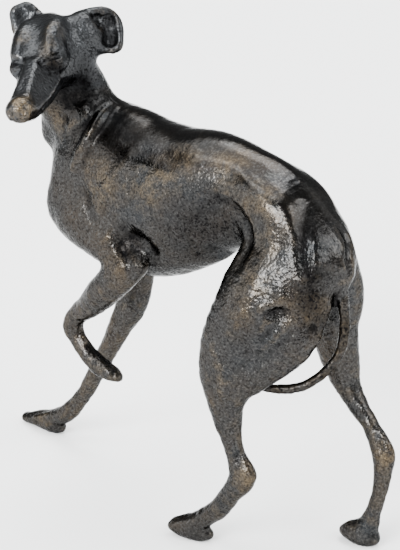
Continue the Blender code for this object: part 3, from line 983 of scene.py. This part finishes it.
class Nodes:
    """A node tree that is wired by calls."""

    def __init__(self, tree):
        self.tree = tree

    def add(self, kind, **settings):
        node = self.tree.nodes.new("ShaderNode" + kind)
        for name, value in settings.items():
            setattr(node, name, value)
        return node

    def link(self, source, target):
        self.tree.links.new(source, target)

    def noise(self, where, scale, detail=3.0, roughness=0.55):
        node = self.add("TexNoise")
        node.inputs["Scale"].default_value = scale
        node.inputs["Detail"].default_value = detail
        node.inputs["Roughness"].default_value = roughness
        self.link(where, node.inputs["Vector"])
        return node.outputs["Fac"]

    def ramp(self, source, low, high, to_low=0.0, to_high=1.0, kind="LINEAR"):
        node = self.add("MapRange", interpolation_type=kind)
        for name, value in (("From Min", low), ("From Max", high), ("To Min", to_low), ("To Max", to_high)):
            node.inputs[name].default_value = value
        self.link(source, node.inputs["Value"])
        return node.outputs["Result"]

    def maths(self, kind, a, b):
        node = self.add("Math", operation=kind)
        for socket, value in zip(node.inputs, (a, b)):
            if isinstance(value, (int, float)):
                socket.default_value = value
            else:
                self.link(value, socket)
        return node.outputs[0]

    def mix(self, factor, a, b):
        node = self.add("Mix", data_type="RGBA")
        self.link(factor, node.inputs[0])
        for socket, value in ((node.inputs[6], a), (node.inputs[7], b)):
            if isinstance(value, tuple):
                socket.default_value = value
            else:
                self.link(value, socket)
        return node.outputs[2]

    def stretched(self, where, scales):
        node = self.add("VectorMath", operation="MULTIPLY")
        node.inputs[1].default_value = scales
        self.link(where, node.inputs[0])
        return node.outputs[0]


def new_material(name):
    material = bpy.data.materials.new(name)
    material.use_nodes = True
    return material, Nodes(material.node_tree), material.node_tree.nodes["Principled BSDF"]


# The metal's reflectance under each kind of patina, and how dark it turns at a grazing angle
DARK = (0.0118, 0.0132, 0.0146, 1)
BROWN = (0.0215, 0.016, 0.0112, 1)
GREY = (0.043, 0.042, 0.0405, 1)
PALE = (0.031, 0.033, 0.036, 1)
COPPER = (0.124, 0.086, 0.043, 1)
# The black of the dull dark patina, also used as painted shade
SHADE_AND_PATINA_BLACK = (0.003, 0.0028, 0.003, 1)
EDGE = (0.4, 0.4, 0.4, 1)

# Noise waves per metre: slow clouds of colour, blotches, light specks and dark flecks, then the skin's pits,
# beads and dents, and the brush lines of the croup along X, Y and Z
CLOUD, MOTTLE, SPECK, FLECK = 42, 150, 950, 850
PITS, BEADS, DENTS, BRUSH = 760, 800, 210, (620, 620, 90)
MILLIMETRE = 0.001


def bronze():
    """Dark brown-black patina on bronze, lacquered on the back, with pits and beads from the sand mould."""
    material, n, shader = new_material("patinated_bronze")
    where = n.add("TexCoord").outputs["Object"]
    wear = n.add("Attribute", attribute_name="wear")
    split = n.add("SeparateColor")
    n.link(wear.outputs["Color"], split.inputs[0])
    rub, gloss, grain = split.outputs
    cloud = n.noise(where, CLOUD, 4)
    mottle = n.noise(where, MOTTLE, 5, 0.65)
    speck = n.noise(where, SPECK, 2)
    base = n.mix(n.ramp(cloud, 0.3, 0.75), DARK, BROWN)
    base = n.mix(n.ramp(speck, 0.48, 0.68, 0, 0.8), base, GREY)
    base = n.mix(n.ramp(gloss, -0.55, -0.95, 0, 0.75), base, PALE)
    worn = n.maths("MULTIPLY", rub, n.ramp(mottle, 0.38, 0.64, 0.15, 1.25))
    worn = n.maths("MULTIPLY", worn, n.ramp(speck, 0.35, 0.6, 0.5, 1.1))
    colour = n.mix(n.ramp(worn, 0.03, 0.9), base, COPPER)
    # The mask of dark patina and painted shade: it turns the colour black, roughens the surface and thins
    # the coat
    patina_and_shade = n.add("Attribute", attribute_name="patina_and_shade").outputs["Fac"]
    patina_and_shade = n.maths("MULTIPLY", patina_and_shade, n.ramp(mottle, 0.3, 0.6, 0.6, 1.1))
    fleck = n.ramp(n.noise(where, FLECK, 1.5), 0.48, 0.36, 0, 0.5)
    patina_and_shade = n.maths("ADD", patina_and_shade, n.maths("MULTIPLY", fleck, n.ramp(gloss, 0.2, 0.9, 1, 0.1)))
    n.link(n.mix(patina_and_shade, colour, SHADE_AND_PATINA_BLACK), shader.inputs["Base Color"])
    rough = n.ramp(mottle, 0.3, 0.7, 0.17, 0.29)
    rough = n.maths("SUBTRACT", rough, n.maths("MULTIPLY", gloss, 0.1))
    rough = n.maths("ADD", rough, n.maths("MULTIPLY", patina_and_shade, 0.3))
    n.link(n.ramp(patina_and_shade, 0, 0.8, 0.24, 0.03), shader.inputs["Coat Weight"])
    shader.inputs["Specular Tint"].default_value = EDGE
    n.link(rough, shader.inputs["Roughness"])
    shader.inputs["Metallic"].default_value = 1.0
    shader.inputs["Coat Roughness"].default_value = 0.14
    relief_nodes(n, shader, where, grain, wear.outputs["Alpha"])
    return material


def relief_nodes(n, shader, where, grain, brushed):
    """The smallest relief in millimetres: pits and beads, slow dents, and the brushing of the croup."""
    pits = n.add("TexVoronoi", feature="SMOOTH_F1")
    pits.inputs["Scale"].default_value = PITS
    n.link(where, pits.inputs["Vector"])
    pitted = n.maths("MULTIPLY", pits.outputs["Distance"], 0.2)
    beaded = n.maths("MULTIPLY", n.noise(where, BEADS, 0.8), 0.52)
    height = n.maths("MULTIPLY", n.maths("ADD", pitted, beaded), grain)
    height = n.maths("ADD", height, n.maths("MULTIPLY", n.noise(where, DENTS, 3), 0.16))
    lines = n.noise(n.stretched(where, BRUSH), 1, 2)
    height = n.maths("ADD", height, n.maths("MULTIPLY", n.maths("MULTIPLY", lines, brushed), 0.35))
    for socket, strength in (("Normal", 1.0), ("Coat Normal", 0.6)):
        bump = n.add("Bump")
        bump.inputs["Strength"].default_value = strength
        bump.inputs["Distance"].default_value = MILLIMETRE
        n.link(height, bump.inputs["Height"])
        n.link(bump.outputs["Normal"], shader.inputs[socket])


def dress():
    """The finished casting, in metres and inside the solid's box, in place of the plain solid."""
    piece = sculpt()
    mesh = piece.data
    unevenness(mesh)
    flatten_soles(mesh)
    paint(mesh)
    p = (places(mesh) - np.array(CENTRE)) * UNIT
    put(mesh, np.clip(p, *np.array(cad_box)))
    mesh.polygons.foreach_set("use_smooth", [True] * len(mesh.polygons))
    mesh.materials.clear()
    mesh.materials.append(bronze())
    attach(piece, "root")
    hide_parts("whippet")


FLOOR_SIZE = 30  # metres, so that its edge is never seen
FLOOR_COLOUR = (0.96, 0.96, 0.96, 1)


def floor():
    bpy.ops.mesh.primitive_plane_add(size=FLOOR_SIZE, location=(0, 0, 0))
    ground = bpy.context.object
    ground.name = "floor"
    material, n, shader = new_material("pale_floor")
    shader.inputs["Base Color"].default_value = FLOOR_COLOUR
    shader.inputs["Roughness"].default_value = 0.9
    shader.inputs["Specular IOR Level"].default_value = 0.2
    ground.data.materials.append(material)


# The studio's soft lights: the direction each stands in, the angles in degrees from there to its soft edge
# and to its core, and its strength
LIGHTS = (
    ((-0.25, -0.04, 0.97), 33, 25, 3.9),
    ((-0.30, -0.50, 0.81), 24, 14, 4),
    ((-0.12, -0.87, 0.46), 20, 10, 4),
    ((0.13, -0.88, 0.46), 20, 11, 27),
    ((-0.18, 0.42, 0.89), 24, 12, 8),
    ((0.80, 0.12, 0.58), 27, 19, 7),
    ((-0.60, -0.78, 0.05), 36, 12, 4),
    ((0.50, 0.80, 0.30), 40, 10, 1.3),
)
HORIZON, ZENITH = 0.6, 0.4  # how bright the plain walls and the ceiling are
WALLS = (0.985, 1, 1, 1)


def studio():
    world = bpy.data.worlds.new("studio")
    bpy.context.scene.world = world
    world.use_nodes = True
    n = Nodes(world.node_tree)
    where = n.add("TexCoord").outputs["Generated"]
    height = n.add("SeparateXYZ")
    n.link(where, height.inputs[0])
    total = n.ramp(height.outputs["Z"], 0.1, 0.8, HORIZON, ZENITH)
    for direction, edge, core, strength in LIGHTS:
        dot = n.add("VectorMath", operation="DOT_PRODUCT")
        dot.inputs[1].default_value = Vector(direction).normalized()
        n.link(where, dot.inputs[0])
        edge, core = math.cos(math.radians(edge)), math.cos(math.radians(core))
        total = n.maths("ADD", total, n.ramp(dot.outputs["Value"], edge, core, 0, strength, "SMOOTHSTEP"))
    background = world.node_tree.nodes["Background"]
    background.inputs["Color"].default_value = WALLS
    n.link(total, background.inputs["Strength"])


# The photograph's camera: how far round from the dog's left side, how far above level, its distance in
# metres, the point of the grid that it looks at, and its lens and sensor in millimetres
AROUND, ABOVE, DISTANCE = math.radians(41), math.radians(20), 1.1
AIM = (0, 10, 119)
LENS, SENSOR = 147.6, 36


def photo_camera():
    target = Vector(AIM) - Vector(CENTRE)
    back = Vector((math.sin(AROUND) * math.cos(ABOVE), -math.cos(AROUND) * math.cos(ABOVE), math.sin(ABOVE)))
    data = bpy.data.cameras.new("photo_camera")
    data.sensor_width = SENSOR
    data.lens = LENS
    eye = bpy.data.objects.new("photo_camera", data)
    bpy.context.scene.collection.objects.link(eye)
    eye.location = target * UNIT + back * DISTANCE
    eye.rotation_euler = back.to_track_quat("Z", "Y").to_euler()
    bpy.context.scene.camera = eye


photo_camera()
dress()
floor()
studio()
